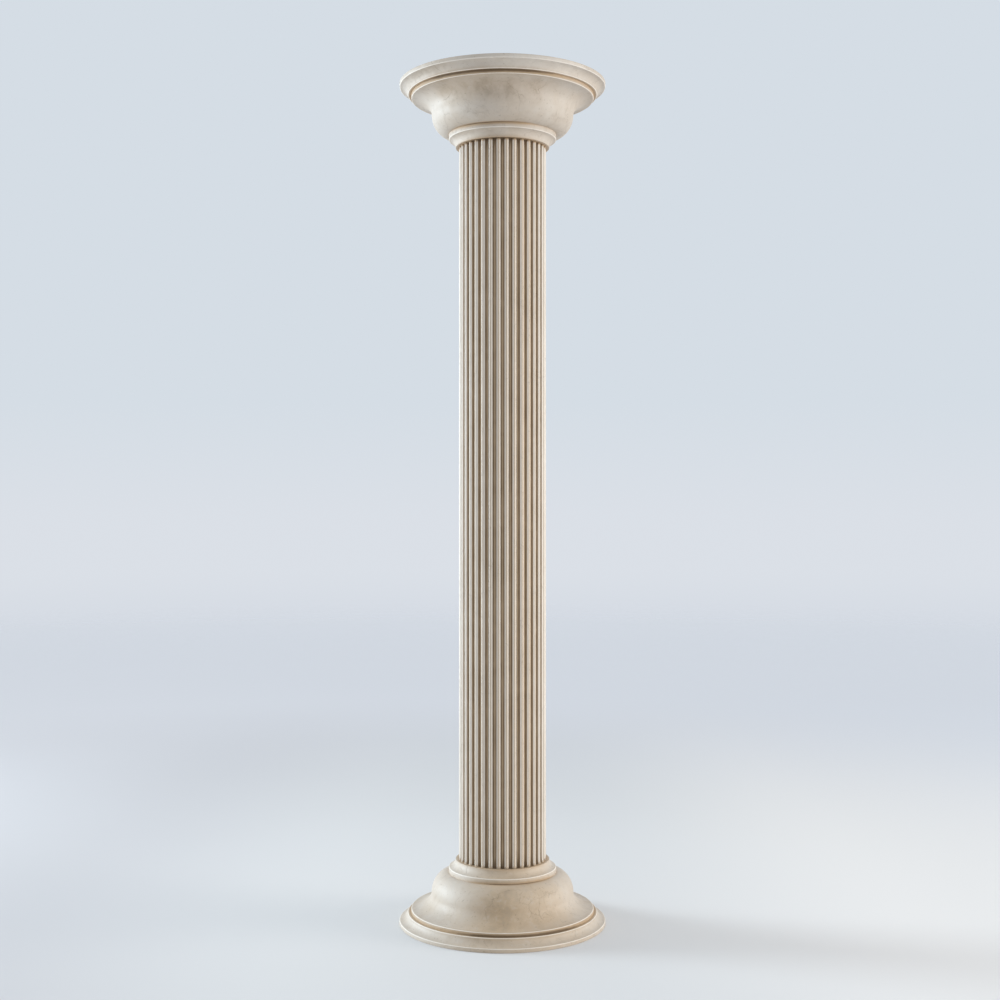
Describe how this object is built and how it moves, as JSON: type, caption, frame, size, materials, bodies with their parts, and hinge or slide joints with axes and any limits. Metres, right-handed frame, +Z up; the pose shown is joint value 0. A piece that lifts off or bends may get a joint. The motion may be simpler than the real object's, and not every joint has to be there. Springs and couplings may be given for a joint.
{
  "type": "doric column",
  "caption": "Free-standing round stone column: a straight fluted shaft between a moulded foot and the same moulding upside down as its head.",
  "frame": {"origin": "middle of the round underside, on the floor", "axes": "+Z up along the axis of the column; -Y is the front, where a channel of the shaft faces the viewer"},
  "size_m": [0.6, 0.6, 2.44],
  "materials": {
    "stone": "honed cream limestone with fine brown veins and hairlines, brown grime in the channels and hollows, pale worn arrises"
  },
  "bodies": {
    "root": {"base": "stone", "shaft": "stone", "capital": "stone"}
  },
  "joints": []
}
